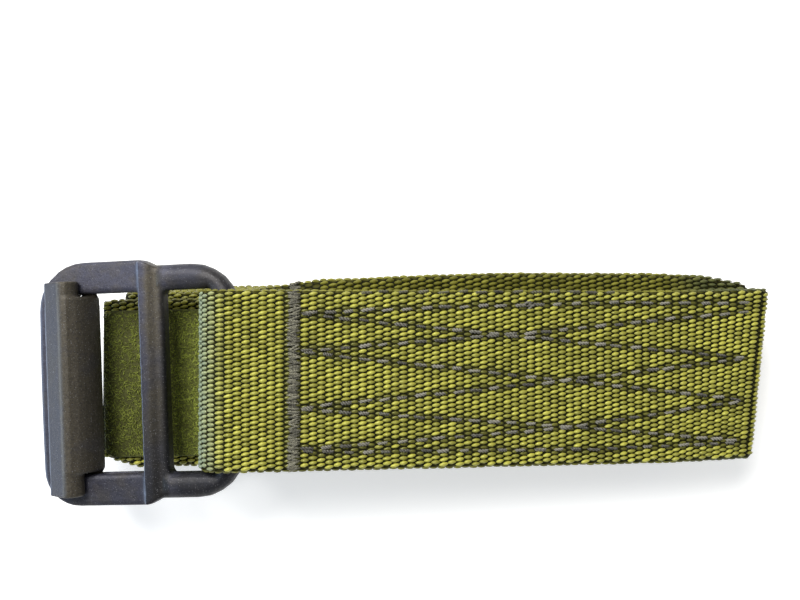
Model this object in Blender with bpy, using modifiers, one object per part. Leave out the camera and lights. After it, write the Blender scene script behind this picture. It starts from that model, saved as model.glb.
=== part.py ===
"""Rigger belt: a webbing waist belt folded up flat, with its friction adapter buckle lying on the folds.

+X runs along the belt from the buckle to the crease, +Y across the webbing, and +Z up.
The origin is on the surface that the belt lies on, under the middle of the belt's bounding box.
"""
import math
from collections import namedtuple

import bmesh
import bpy
from mathutils import Matrix, Vector

# Webbing, in metres
WEBBING_WIDTH = 0.04445
WEBBING_THICKNESS = 0.0024
PLY_GAP = 0.0003
PLY_PITCH = WEBBING_THICKNESS + PLY_GAP
SELVAGE_WIDTH = 0.0008
SELVAGE_THICKNESS = 0.0013

# Loop tape on the tail
TAPE_WIDTH = 0.0385
TAPE_THICKNESS = 0.0012
TAPE_LENGTH = 0.107
TAPE_INSET = 0.0008
TAPE_CORNER = 0.0030
TAPE_END_CORNER = 0.0010
TAPE_ROUNDING = 0.0002

# Buckle frame: lengths run from the middle of the slider bar's left edge to the round end bar
FRAME_LENGTH = 0.0500
FRAME_LEFT = -0.0020
LEFT_BULGE = 0.0002
FRAME_WIDTH = 0.0616
END_WIDTH = 0.0586
OPENING_WIDTH = 0.0454
RAIL_THICKNESS = 0.0050
LEFT_BAR_WIDTH = 0.0075
HIGH_CORNER = 0.0120
LOW_CORNER = 0.0092
PLATE_ROUNDING = 0.0011
CROSSBAR_START = 0.0247
CROSSBAR_END = 0.0309
CROSSBAR_RISE = 0.0008
WINDOW_CORNER = 0.0020
END_BAR_WIDTH = 0.0071
END_THICKNESS = 0.0061
END_ROUNDING = 0.0025
END_CORNER = 0.0120
INNER_END_CORNER = 0.0006
END_LOOP_START = 0.0285

# Shoulders where the flat plate narrows to the round end
SHOULDER_START = CROSSBAR_START
SHOULDER_LENGTH = 0.0062
SHOULDER_HALF_WIDTH = END_WIDTH / 2 - 0.0007
SHOULDER_STEPS = 6
LEFT_STEPS = 8
PLATE_END = CROSSBAR_END + 0.0026
PLATE_INNER_HALF = OPENING_WIDTH / 2 + 0.0008
END_INNER_HALF = OPENING_WIDTH / 2 + 0.0001

# Section of the crossbar, sharp on its left and rounded on its right: x along the frame, z from its middle plane
CROSSBAR_TOP = RAIL_THICKNESS / 2 + CROSSBAR_RISE
CROSSBAR_SECTION = (
    (CROSSBAR_START + 0.0003, -0.0014),
    (CROSSBAR_END - 0.0009, -0.0014),
    (CROSSBAR_END - 0.0005, 0.0002),
    (CROSSBAR_END - 0.0009, 0.0014),
    (CROSSBAR_END - 0.0020, CROSSBAR_TOP - 0.0008),
    (CROSSBAR_END - 0.0038, CROSSBAR_TOP - 0.0001),
    (CROSSBAR_END - 0.0050, CROSSBAR_TOP),
    (CROSSBAR_START, CROSSBAR_TOP - 0.0001),
)
CROSSBAR_INSET = 0.00025
CROSSBAR_TRIM_DEPTH = 0.0120
CROSSBAR_ROUNDING = 0.0004
WINDOW_OVERLAP = 0.0004

# Slider bar
SLIDER_LENGTH = 0.0536
SLIDER_Y = -0.0009
LIP_LENGTH = 0.0441
SLIDER_CLEARANCE = 0.0003
SLIDER_ROUNDING = 0.0003
SEAT = RAIL_THICKNESS / 2 + SLIDER_CLEARANCE
RIDGE_SECTION = (
    (0.0009, SEAT),
    (0.0089, SEAT),
    (0.0094, SEAT + 0.0005),
    (0.0096, SEAT + 0.0013),
    (0.0094, SEAT + 0.0023),
    (0.0088, SEAT + 0.0033),
    (0.0078, SEAT + 0.0041),
    (0.0067, SEAT + 0.0045),
    (0.0059, SEAT + 0.0044),
    (0.0052, SEAT + 0.0040),
    (0.0005, SEAT + 0.0011),
    (0.0005, SEAT + 0.0005),
)
LIP_START = LEFT_BAR_WIDTH + SLIDER_CLEARANCE
LIP_SECTION = (
    (LIP_START, -0.0012),
    (0.0123, -0.0012),
    (0.0129, -0.0009),
    (0.0131, -0.0002),
    (0.0130, 0.0010),
    (0.0126, 0.0023),
    (0.0119, 0.0036),
    (0.0110, 0.0048),
    (0.0099, 0.0059),
    (0.0086, 0.0067),
    (0.0079, 0.0072),
    (0.0067, 0.0074),
    (0.0060, 0.0073),
    (0.0056, 0.0068),
    (0.0056, SEAT + 0.0002),
    (LIP_START, SEAT + 0.0002),
)

# Tongues on the slider bar's ends and the grooves in the rails that they run in
TONGUE_START = 0.0086
TONGUE_END = 0.0126
TONGUE_HALF_HEIGHT = 0.0005
TONGUE_LENGTH = 0.0470
GROOVE_START = 0.0079
GROOVE_END = 0.0223
GROOVE_HALF_HEIGHT = 0.0008
GROOVE_SPAN = 0.0476
GROOVE_CUT = 0.0018

# Middle of the belt's bounding box, seen from the place that all lengths below are counted from
MIDDLE_X = 0.001726
MIDDLE_Y = -0.001123

# How the buckle lies
END_BAR_X = -0.0440
END_BAR_Z = 0.0315
BUCKLE_TILT = math.radians(7.0)
BUCKLE_YAW = math.radians(2.3)
BUCKLE_Y = 0.0001
LOOP_SLACK = 0.0009
LOOP_LIFT = 0.0005

# Where the webbing turns
TAIL_TIP_X = -0.0797
TAIL_CUT_LENGTH = 0.0096
TAIL_CUT_DEPTH = 0.0028
SEWN_LOOP_X = -0.0180
CREASE_X = 0.0949
CREASE_BEND = 0.0018
CREASE_Y = 0.0006
RETURN_FOOT_X = 0.0745
RETURN_BEND = 0.0080
CREASE_SKEW = 0.0050

SKEW_RUN = 0.020
LOOP_JOIN_BEND = 0.012
FOLD_BEND = PLY_PITCH / 2 - 0.00001

ARC_STEP = math.radians(20)
SHORTEST_STEP = 0.00005
WELD_DISTANCE = 0.00001

# The sewn-back ply under the front ply: how far it lies across the belt at each place along it
Sideways = namedtuple("Sideways", "x y")
SEWN_PLY = (
    Sideways(0.0880, 0.0020),
    Sideways(0.0800, 0.0040),
    Sideways(0.0640, 0.0046),
    Sideways(0.0260, 0.0046),
    Sideways(0.0, 0.0036),
)
SEWN_JOIN_Y = 0.0028

# Folds of the stack below it: where each fold ends, and how far the webbing lies across the belt as it enters
# and leaves the fold
Fold = namedtuple("Fold", "end_x y_in y_out")
FOLDS = (
    Fold(-0.0765, 0.0019, 0.0016),
    Fold(0.0690, 0.0030, 0.0028),
    Fold(-0.0720, 0.0012, 0.0008),
    Fold(0.0700, 0.0024, 0.0020),
    Fold(-0.0745, 0.0004, -0.0001),
    Fold(0.0675, 0.0012, 0.0004),
)
RETURN_Y = 0.0036
TAIL_Y = -0.0021

Corner = namedtuple("Corner", "x z bend y skew")
Station = namedtuple("Station", "x z y skew")


def clear_scene():
    """Takes the starting objects out of the file."""
    for thing in list(bpy.data.objects):
        bpy.data.objects.remove(thing, do_unlink=True)


def make_collection(name):
    """Adds an empty collection to the scene."""
    collection = bpy.data.collections.new(name)
    bpy.context.scene.collection.children.link(collection)
    return collection


def make_material(name, colour, roughness, metallic):
    """Makes a plain Principled material."""
    material = bpy.data.materials.new(name)
    material.use_nodes = True
    shader = material.node_tree.nodes["Principled BSDF"]
    shader.inputs["Base Color"].default_value = (*colour, 1.0)
    shader.inputs["Roughness"].default_value = roughness
    shader.inputs["Metallic"].default_value = metallic
    return material


def finish_mesh(mesh):
    """Welds a mesh and turns all its faces outwards."""
    edit = bmesh.new()
    edit.from_mesh(mesh)
    bmesh.ops.remove_doubles(edit, verts=edit.verts, dist=WELD_DISTANCE)
    bmesh.ops.recalc_face_normals(edit, faces=edit.faces)
    edit.to_mesh(mesh)
    edit.free()


def mesh_from_curve(curve_object, collection):
    """Turns a curve object into a welded mesh object of the same name, and removes the curve."""
    name = curve_object.name
    bpy.context.view_layer.update()
    graph = bpy.context.evaluated_depsgraph_get()
    mesh = bpy.data.meshes.new_from_object(curve_object.evaluated_get(graph))
    finish_mesh(mesh)
    matrix = curve_object.matrix_world.copy()
    bpy.data.objects.remove(curve_object, do_unlink=True)
    solid = bpy.data.objects.new(name, mesh)
    mesh.name = name
    solid.matrix_world = matrix
    collection.objects.link(solid)
    return solid


def add_closed_spline(curve, points):
    """Adds one closed straight-sided outline to a flat curve."""
    spline = curve.splines.new("POLY")
    spline.points.add(len(points) - 1)
    for spline_point, (x, y) in zip(spline.points, points):
        spline_point.co = (x, y, 0.0, 1.0)
    spline.use_cyclic_u = True


def extruded(name, outlines, depth, rounding, collection, rings=1):
    """Extrudes flat outlines along Z, centred on Z = 0, with its edges rounded by the given size."""
    curve = bpy.data.curves.new(name, "CURVE")
    curve.dimensions = "2D"
    curve.fill_mode = "BOTH"
    curve.extrude = depth / 2 - rounding
    curve.bevel_depth = rounding
    curve.bevel_resolution = rings
    curve.offset = -rounding
    for points in outlines:
        add_closed_spline(curve, points)
    curve_object = bpy.data.objects.new(name, curve)
    collection.objects.link(curve_object)
    return mesh_from_curve(curve_object, collection)


def arc(centre_x, centre_y, radius, start, end, steps=6):
    """Points of an arc, its angles in degrees."""
    points = []
    for step in range(steps + 1):
        angle = math.radians(start + (end - start) * step / steps)
        points.append((centre_x + radius * math.cos(angle), centre_y + radius * math.sin(angle)))
    return points


def rounded_rectangle(low_x, high_x, low_y, high_y, left_radius, right_radius):
    """A rectangle with round corners, counter-clockwise."""
    points = arc(high_x - right_radius, low_y + right_radius, right_radius, -90, 0)
    points += arc(high_x - right_radius, high_y - right_radius, right_radius, 0, 90)
    points += arc(low_x + left_radius, high_y - left_radius, left_radius, 90, 180)
    points += arc(low_x + left_radius, low_y + left_radius, left_radius, 180, 270)
    return points


def along_y(solid):
    """Turns a solid extruded along Z so that its outline's second axis is Z and its depth runs along Y."""
    solid.data.transform(Matrix.Rotation(math.pi / 2, 4, "X"))
    return solid


def add_boolean(target, tool, operation, solver="EXACT"):
    """Joins a tool to the target, or cuts it out."""
    tool.hide_render = True
    tool.display_type = "WIRE"
    modifier = target.modifiers.new(tool.name, "BOOLEAN")
    modifier.operation = operation
    modifier.solver = solver
    modifier.object = tool


def rounded_route(corners):
    """Replaces the corners of a route by arcs, and returns its stations."""
    stations = [Station(corners[0].x, corners[0].z, corners[0].y, corners[0].skew)]
    for before, here, after in zip(corners, corners[1:], corners[2:]):
        corner = Vector((here.x, here.z))
        way_in = (corner - Vector((before.x, before.z))).normalized()
        way_out = (Vector((after.x, after.z)) - corner).normalized()
        turn = way_in.angle_signed(way_out)
        if here.bend == 0.0:
            stations.append(Station(here.x, here.z, here.y, here.skew))
            continue
        reach = here.bend * math.tan(abs(turn) / 2)
        start = corner - way_in * reach
        # angle_signed is positive for a clockwise turn
        side = Vector((way_in.y, -way_in.x)) * math.copysign(here.bend, turn)
        centre = start + side
        steps = max(2, math.ceil(abs(turn) / ARC_STEP))
        for step in range(steps + 1):
            spoke = -side
            spoke.rotate(Matrix.Rotation(-turn * step / steps, 2))
            point = centre + spoke
            last = stations[-1]
            if math.hypot(point.x - last.x, point.y - last.z) > SHORTEST_STEP:
                stations.append(Station(point.x, point.y, here.y, here.skew))
    stations.append(Station(corners[-1].x, corners[-1].z, corners[-1].y, corners[-1].skew))
    return stations


def ply_height(ply):
    """Height of the middle of a ply of the stack, counted from 0 at the bottom."""
    return WEBBING_THICKNESS / 2 + ply * PLY_PITCH


def strap_corners():
    """Corners of the webbing's middle line, from its sewn-back end to the tip of its tail."""
    loop_radius = END_BAR_WIDTH / 2 + PLY_GAP + LOOP_SLACK + WEBBING_THICKNESS / 2
    loop_bend = loop_radius - 0.00001
    loop_left = END_BAR_X - loop_radius
    loop_z = END_BAR_Z + LOOP_LIFT
    tail_z = ply_height(len(FOLDS))
    sewn_end_z = tail_z + PLY_PITCH
    front_end_z = sewn_end_z + PLY_PITCH
    # Front ply: a straight line over the end bar and down to the end of the sewn-back ply
    sewn_end_x = SEWN_PLY[0].x
    reach_x = sewn_end_x - END_BAR_X
    drop = loop_z - front_end_z
    front_fall = math.asin(loop_radius / math.hypot(reach_x, drop)) + math.atan2(drop, reach_x)

    def front_z(x):
        return loop_z + loop_radius / math.cos(front_fall) - (x - END_BAR_X) * math.tan(front_fall)

    # Sewn-back ply: its end is cut parallel to the crease, and it lies under the front ply as far as the loop,
    # then goes down round the underside of the bar
    corners = [Corner(place.x, front_z(place.x) - PLY_PITCH, 0.0, place.y, 0.0) for place in SEWN_PLY]
    corners[0] = corners[0]._replace(skew=CREASE_SKEW)
    join_z = front_z(SEWN_LOOP_X) - PLY_PITCH
    reach_x = SEWN_LOOP_X - END_BAR_X
    rise = join_z - loop_z
    loop_rise = math.asin(loop_radius / math.hypot(reach_x, rise)) + math.atan2(rise, reach_x)
    under_z = loop_z - loop_radius / math.cos(loop_rise) - loop_radius * math.tan(loop_rise)
    skew_start_x = sewn_end_x - SKEW_RUN
    corners += [
        Corner(SEWN_LOOP_X, join_z, LOOP_JOIN_BEND, SEWN_JOIN_Y, 0.0),
        Corner(loop_left, under_z, loop_bend, 0.0, 0.0),
        Corner(loop_left, front_z(loop_left), loop_bend, 0.0, 0.0),
        Corner(skew_start_x, front_z(skew_start_x), 0.0, 0.0, 0.0),
        Corner(CREASE_X, front_z(CREASE_X), CREASE_BEND, CREASE_Y, CREASE_SKEW),
        Corner(RETURN_FOOT_X, ply_height(0), RETURN_BEND, RETURN_Y, 0.0),
    ]
    for ply, fold in enumerate(FOLDS):
        corners.append(Corner(fold.end_x, ply_height(ply), FOLD_BEND, fold.y_in, 0.0))
        corners.append(Corner(fold.end_x, ply_height(ply + 1), FOLD_BEND, fold.y_out, 0.0))
    last_fold = FOLDS[-1]
    cut_share = TAIL_CUT_LENGTH / (last_fold.end_x - TAIL_TIP_X)
    cut_y = TAIL_Y + (last_fold.y_out - TAIL_Y) * cut_share
    corners.append(Corner(TAIL_TIP_X + TAIL_CUT_LENGTH, tail_z, 0.0, cut_y, 0.0))
    corners.append(Corner(TAIL_TIP_X, tail_z, 0.0, TAIL_Y, 0.0))
    return corners


def build_strap(collection, material):
    """The whole webbing as one ribbon, thinner along both selvages."""
    inner = 0.5 - SELVAGE_WIDTH / WEBBING_WIDTH
    columns = (-0.5, -inner, inner, 0.5)
    edit = bmesh.new()
    rows = []
    stations = rounded_route(strap_corners())
    for station in stations:
        row = []
        for share in columns:
            x = station.x + share * station.skew
            y = station.y + share * WEBBING_WIDTH
            if station is stations[-1] and share < 0:
                y += TAIL_CUT_DEPTH
            row.append(edit.verts.new((x, y, station.z)))
        rows.append(row)
    for row, next_row in zip(rows, rows[1:]):
        for column in range(len(columns) - 1):
            edit.faces.new((row[column], row[column + 1], next_row[column + 1], next_row[column]))
    mesh = bpy.data.meshes.new("strap")
    edit.to_mesh(mesh)
    edit.free()
    mesh.materials.append(material)
    strap = bpy.data.objects.new("strap", mesh)
    collection.objects.link(strap)
    body = strap.vertex_groups.new(name="full_thickness")
    inner_verts = [number for number in range(len(mesh.vertices)) if number % len(columns) in (1, 2)]
    body.add(inner_verts, 1.0, "REPLACE")
    wall = strap.modifiers.new("wall", "SOLIDIFY")
    wall.thickness = WEBBING_THICKNESS
    wall.offset = 0.0
    wall.use_even_offset = True
    wall.vertex_group = body.name
    wall.thickness_vertex_group = SELVAGE_THICKNESS / WEBBING_THICKNESS
    return strap


def build_loop_tape(collection, material):
    """The loop tape on the tail's upper face."""
    half = TAPE_WIDTH / 2
    outline = rounded_rectangle(TAPE_INSET, TAPE_LENGTH, -half, half, TAPE_CORNER, TAPE_END_CORNER)
    tape = extruded("loop_tape", (outline,), TAPE_THICKNESS, TAPE_ROUNDING, collection)
    last_fold = FOLDS[-1]
    tail_yaw = math.atan2(last_fold.y_out - TAIL_Y, last_fold.end_x - TAIL_TIP_X)
    tape.rotation_euler.z = tail_yaw
    tape.location.x = TAIL_TIP_X
    tape.location.y = TAIL_Y
    underside = ply_height(len(FOLDS)) + WEBBING_THICKNESS / 2 + PLY_GAP
    tape.location.z = underside + TAPE_THICKNESS / 2
    tape.data.materials.append(material)
    return tape


def plate_outline(inset=0.0):
    """Outer outline of the frame's flat left part, counter-clockwise from its lower left corner."""
    half = FRAME_WIDTH / 2 - inset
    end_half = SHOULDER_HALF_WIDTH - inset
    lower = []
    for step in range(SHOULDER_STEPS + 1):
        share = step / SHOULDER_STEPS
        ease = (1 - math.cos(math.pi * share)) / 2
        lower.append((SHOULDER_START + SHOULDER_LENGTH * share, -half + (half - end_half) * ease))
    lower.append((PLATE_END, -end_half))
    lower.append((PLATE_END, -PLATE_INNER_HALF))
    corner = arc(CROSSBAR_END + WINDOW_CORNER, -PLATE_INNER_HALF + WINDOW_CORNER, WINDOW_CORNER, 270, 180, 4)
    right = lower + corner
    right += [(x, -y) for x, y in reversed(right)]
    high = arc(FRAME_LEFT + HIGH_CORNER, half - HIGH_CORNER, HIGH_CORNER, 90, 180, LEFT_STEPS)
    low = arc(FRAME_LEFT + LOW_CORNER, -half + LOW_CORNER, LOW_CORNER, 180, 270, LEFT_STEPS)
    top_y, bottom_y = high[-1][1], low[0][1]
    bulge = []
    for step in range(1, LEFT_STEPS):
        share = step / LEFT_STEPS
        bulge.append((FRAME_LEFT - LEFT_BULGE * math.sin(math.pi * share), top_y + (bottom_y - top_y) * share))
    return low + right + high + bulge


def build_end_loop(collection):
    """The frame's rounded right part: two rails and the end bar that the webbing hangs on, open to the left."""
    half = END_WIDTH / 2
    inner_x = FRAME_LENGTH - END_BAR_WIDTH
    radius = INNER_END_CORNER
    outer = [(END_LOOP_START, -half)]
    outer += arc(FRAME_LENGTH - END_CORNER, -half + END_CORNER, END_CORNER, 270, 360)
    inner = arc(inner_x - radius, -END_INNER_HALF + radius, radius, 360, 270, 3)
    inner.append((END_LOOP_START, -END_INNER_HALF))
    outline = outer + [(x, -y) for x, y in reversed(outer)]
    outline += [(x, -y) for x, y in reversed(inner)] + inner
    return extruded("end_loop", (outline,), END_THICKNESS, END_ROUNDING, collection, 2)


def cut_groove(frame, name, side, cutters):
    """Cuts the groove that a tongue of the slider bar runs in, and returns its cutter."""
    low, high = -GROOVE_HALF_HEIGHT, GROOVE_HALF_HEIGHT
    outline = ((GROOVE_START, low), (GROOVE_END, low), (GROOVE_END, high), (GROOVE_START, high))
    groove = along_y(extruded(name, (outline,), GROOVE_CUT, 0.0, cutters))
    groove.data.transform(Matrix.Translation((0.0, side * (GROOVE_SPAN - GROOVE_CUT) / 2, 0.0)))
    add_boolean(frame, groove, "DIFFERENCE", "MANIFOLD")
    return groove


def build_frame(collection, cutters, material):
    """The buckle frame, in its own place: x along its length, z up."""
    window_half = OPENING_WIDTH / 2
    window = rounded_rectangle(
        LEFT_BAR_WIDTH, CROSSBAR_START + WINDOW_OVERLAP, -window_half, window_half, WINDOW_CORNER / 8, WINDOW_CORNER
    )
    window.reverse()
    frame = extruded("buckle_frame", (plate_outline(), window), RAIL_THICKNESS, PLATE_ROUNDING, collection)
    frame.data.materials.append(material)
    crossbar = along_y(extruded("crossbar", (CROSSBAR_SECTION,), FRAME_WIDTH, CROSSBAR_ROUNDING, cutters))
    trim_outline = plate_outline(CROSSBAR_INSET)
    trim = extruded("crossbar_trim", (trim_outline,), CROSSBAR_TRIM_DEPTH, CROSSBAR_ROUNDING, cutters)
    add_boolean(crossbar, trim, "INTERSECT")
    add_boolean(frame, crossbar, "UNION")
    end_loop = build_end_loop(cutters)
    add_boolean(frame, end_loop, "UNION", "MANIFOLD")
    groove_low = cut_groove(frame, "groove_low", -1, cutters)
    groove_high = cut_groove(frame, "groove_high", 1, cutters)
    weld = frame.modifiers.new("weld", "WELD")
    weld.merge_threshold = WELD_DISTANCE
    return [frame, crossbar, trim, end_loop, groove_low, groove_high]


def build_slider(collection, cutters, material):
    """The slider bar: a ridge with ears on both rails, and a lip that hangs between them."""
    low, high = -TONGUE_HALF_HEIGHT, TONGUE_HALF_HEIGHT
    tongue_section = ((TONGUE_START, low), (TONGUE_END, low), (TONGUE_END, high), (TONGUE_START, high))
    slider = along_y(extruded("slider_bar", (RIDGE_SECTION,), SLIDER_LENGTH, SLIDER_ROUNDING, collection))
    slider.data.transform(Matrix.Translation((0.0, SLIDER_Y, 0.0)))
    slider.data.materials.append(material)
    lip = along_y(extruded("lip", (LIP_SECTION,), LIP_LENGTH, SLIDER_ROUNDING, cutters))
    tongue = along_y(extruded("tongue", (tongue_section,), TONGUE_LENGTH, 0.0, cutters))
    add_boolean(slider, lip, "UNION")
    add_boolean(slider, tongue, "UNION")
    return [slider, lip, tongue]


def make_empty(name, matrix):
    """Adds an empty at the given place."""
    empty = bpy.data.objects.new(name, None)
    bpy.context.scene.collection.objects.link(empty)
    empty.matrix_world = matrix
    return empty


def place_buckle(pieces):
    """Hangs the buckle's pieces on an empty that lies at the frame's left end and is tilted as the buckle is."""
    end_bar = Matrix.Translation((END_BAR_X, BUCKLE_Y, END_BAR_Z))
    turn = Matrix.Rotation(BUCKLE_YAW, 4, "Z") @ Matrix.Rotation(-BUCKLE_TILT, 4, "Y")
    back = Matrix.Translation((END_BAR_WIDTH / 2 - FRAME_LENGTH, 0.0, 0.0))
    empty = make_empty("buckle_place", end_bar @ turn @ back)
    for piece in pieces:
        piece.parent = empty
    return empty


def main():
    clear_scene()
    belt = make_collection("rigger_belt")
    cutters = make_collection("cutters")
    webbing = make_material("olive_webbing", (0.15, 0.16, 0.04), 0.75, 0.0)
    pile = make_material("green_loop_tape", (0.09, 0.11, 0.03), 0.95, 0.0)
    steel = make_material("dark_steel", (0.10, 0.10, 0.13), 0.5, 0.8)
    strap = build_strap(belt, webbing)
    tape = build_loop_tape(belt, pile)
    pieces = build_frame(belt, cutters, steel)
    pieces += build_slider(belt, cutters, steel)
    buckle_place = place_buckle(pieces)
    middle = make_empty("belt_middle", Matrix.Translation((-MIDDLE_X, -MIDDLE_Y, 0.0)))
    for thing in (strap, tape, buckle_place):
        thing.parent = middle
    bpy.context.view_layer.update()


main()
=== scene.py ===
"""Rigger belt: webbing folded up flat, with a loop tape tail and a sliding-bar buckle, on a pale floor.

The belt lies with its buckle at the left, its crease at the right and its front ply up. Lengths are metres.
"""
import math
import random
from bisect import bisect_right
from collections import namedtuple

import bmesh
import bpy
from bpy.props import FloatProperty, FloatVectorProperty, IntProperty, PointerProperty
from mathutils import Matrix, Vector


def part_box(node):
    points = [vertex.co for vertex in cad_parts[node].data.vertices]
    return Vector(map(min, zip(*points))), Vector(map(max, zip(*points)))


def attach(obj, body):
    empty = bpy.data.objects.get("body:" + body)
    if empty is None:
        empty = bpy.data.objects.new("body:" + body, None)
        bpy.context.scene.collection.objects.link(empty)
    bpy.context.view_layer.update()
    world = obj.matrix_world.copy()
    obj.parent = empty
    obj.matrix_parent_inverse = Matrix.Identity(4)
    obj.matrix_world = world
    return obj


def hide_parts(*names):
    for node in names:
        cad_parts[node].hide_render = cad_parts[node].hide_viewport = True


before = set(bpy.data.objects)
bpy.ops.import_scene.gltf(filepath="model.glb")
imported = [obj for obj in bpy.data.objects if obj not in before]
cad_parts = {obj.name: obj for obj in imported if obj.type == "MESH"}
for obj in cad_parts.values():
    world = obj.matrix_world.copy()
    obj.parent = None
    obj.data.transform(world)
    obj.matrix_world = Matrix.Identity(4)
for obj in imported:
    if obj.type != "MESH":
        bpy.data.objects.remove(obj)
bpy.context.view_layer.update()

bl_info = {
    "name": "Rigger Belt",
    "version": (1, 0, 0),
    "blender": (4, 5, 0),
    "location": "3D View > Sidebar > Rigger Belt",
    "description": "Makes a folded rigger belt with woven webbing, seams, loop tape and a worn steel buckle",
    "category": "Object",
}

# Middle line of the webbing as the frame has it, from the sewn-back end to the tip of the tail
Corner = namedtuple("Corner", "x z bend y skew")
ROUTE = (
    Corner(0.08627, 0.02010, 0.0, 0.00312, 0.0050),
    Corner(0.07827, 0.02102, 0.0, 0.00512, 0.0),
    Corner(0.06227, 0.02286, 0.0, 0.00572, 0.0),
    Corner(0.02427, 0.02723, 0.0, 0.00572, 0.0),
    Corner(-0.00173, 0.03023, 0.0, 0.00472, 0.0),
    Corner(-0.01973, 0.03230, 0.01200, 0.00392, 0.0),
    Corner(-0.05168, 0.02440, 0.00594, 0.00112, 0.0),
    Corner(-0.05168, 0.03867, 0.00594, 0.00112, 0.0),
    Corner(0.06627, 0.02510, 0.0, 0.00112, 0.0),
    Corner(0.09317, 0.02201, 0.00180, 0.00172, 0.0050),
    Corner(0.07277, 0.00120, 0.00800, 0.00472, 0.0),
    Corner(-0.07823, 0.00120, 0.00134, 0.00302, 0.0),
    Corner(-0.07823, 0.00390, 0.00134, 0.00272, 0.0),
    Corner(0.06727, 0.00390, 0.00134, 0.00412, 0.0),
    Corner(0.06727, 0.00660, 0.00134, 0.00392, 0.0),
    Corner(-0.07373, 0.00660, 0.00134, 0.00232, 0.0),
    Corner(-0.07373, 0.00930, 0.00134, 0.00192, 0.0),
    Corner(0.06827, 0.00930, 0.00134, 0.00352, 0.0),
    Corner(0.06827, 0.01200, 0.00134, 0.00312, 0.0),
    Corner(-0.07623, 0.01200, 0.00134, 0.00152, 0.0),
    Corner(-0.07623, 0.01470, 0.00134, 0.00102, 0.0),
    Corner(0.06577, 0.01470, 0.00134, 0.00232, 0.0),
    Corner(0.06577, 0.01740, 0.00134, 0.00152, 0.0),
    Corner(-0.07183, 0.01740, 0.0, -0.00081, 0.0),
    Corner(-0.08143, 0.01740, 0.0, -0.00098, 0.0),
)
WEBBING_WIDTH = 0.04445
STRAP_BODY = "belt"

# How finely the route is read: the turn of one step of an arc, the least distance between two points, and the
# length over which its direction is taken
ARC_STEP = math.radians(12)
SHORTEST_STEP = 0.00003
ROUTE_STEP = 0.0005

# The tail's lower corner is cut aslant over this length and by this depth
TAIL_CUT_LENGTH = 0.0096
TAIL_CUT_DEPTH = 0.0028

# The buckle's own directions, and where its parts lie along the first, from the frame's left end
BUCKLE_RUN = Vector((0.991747, 0.039833, 0.121869))
BUCKLE_SIDE = Vector((-0.0401, 0.9992, 0.0))
BUCKLE_HALF_WIDTH = 0.0308
CROSSBAR_REACH = (0.0268, 0.0330)

# How many times the buckle's castings are smoothed, all over and then near their ends
CASTING_ROUNDS = 5
END_ROUNDS = 14

# Seams of the front ply, the seam on its upper edge and a small knot: places on its upper face, as (x, y)
SEAMS = (
    ((-0.0273, 0.0176), (-0.0053, 0.0185), (0.0172, 0.0193), (0.0483, 0.0202), (0.0874, 0.0201)),
    ((-0.0278, 0.0174), (0.0210, 0.0122), (0.0873, 0.0058)),
    ((-0.0278, 0.0083), (0.0352, 0.0129), (0.0874, 0.0180)),
    ((-0.0278, 0.0081), (0.0352, 0.0009), (0.0872, -0.0052)),
    ((-0.0278, -0.0056), (0.0352, 0.0001), (0.0873, 0.0056)),
    ((-0.0278, -0.0058), (0.0352, -0.0109), (0.0871, -0.0158)),
    ((-0.0278, -0.0156), (0.0352, -0.0119), (0.0872, -0.0054)),
    ((-0.0278, -0.0160), (-0.0225, -0.0164), (0.0481, -0.0171), (0.0871, -0.0162)),
)
EDGE_SEAM = ((-0.0142, 0.0227), (0.0198, 0.0229), (0.0538, 0.0228))
KNOT = (0.0297, 0.0196)

# The bar tack: its place along the belt, where it starts across the webbing, and how far it runs
BAR_TACK_X = -0.02904
TACK_START = -0.0219
TACK_LENGTH = 0.0437

# How high stitches lie over the webbing's middle surface
SEAM_LIFT = 0.00112
TACK_LIFT = 0.0012
KNOT_LIFT = 0.0013

# Floats are pressed down this near to a seam or the bar tack, to these shares of their length, width and rise
SEAM_CLEARANCE = 0.00085
TACK_CLEARANCE = 0.0019
PRESSED = (0.85, 0.75, 0.3)

# The webbing's core: its columns across, the steps round a selvage, and the longest step along
CORE_COLUMNS = 14
SELVAGE_STEPS = 6
CORE_STEP = 0.004

# The light of the surroundings, and the camera
WORLD_STRENGTH = 0.34
CAMERA_LENS = 38.39
CAMERA_PLACE = (-0.005277, 0.016313, 0.245823)
CAMERA_TURN = (1.218, -0.639, -0.076)


def rounded_route(corners):
    """Points (x, z, y, skew) of a route with its corners turned into arcs."""
    points = [(corners[0].x, corners[0].z, corners[0].y, corners[0].skew)]
    for before, here, after in zip(corners, corners[1:], corners[2:]):
        corner = Vector((here.x, here.z))
        way_in = (corner - Vector((before.x, before.z))).normalized()
        way_out = (Vector((after.x, after.z)) - corner).normalized()
        turn = way_in.angle_signed(way_out)
        if here.bend == 0.0:
            points.append((here.x, here.z, here.y, here.skew))
            continue
        start = corner - way_in * here.bend * math.tan(abs(turn) / 2)
        side = Vector((way_in.y, -way_in.x)) * math.copysign(here.bend, turn)
        centre = start + side
        steps = max(3, math.ceil(abs(turn) / ARC_STEP))
        for step in range(steps + 1):
            spoke = -side
            spoke.rotate(Matrix.Rotation(-turn * step / steps, 2))
            point = centre + spoke
            if math.hypot(point.x - points[-1][0], point.y - points[-1][1]) > SHORTEST_STEP:
                points.append((point.x, point.y, here.y, here.skew))
    points.append((corners[-1].x, corners[-1].z, corners[-1].y, corners[-1].skew))
    return points


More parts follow.
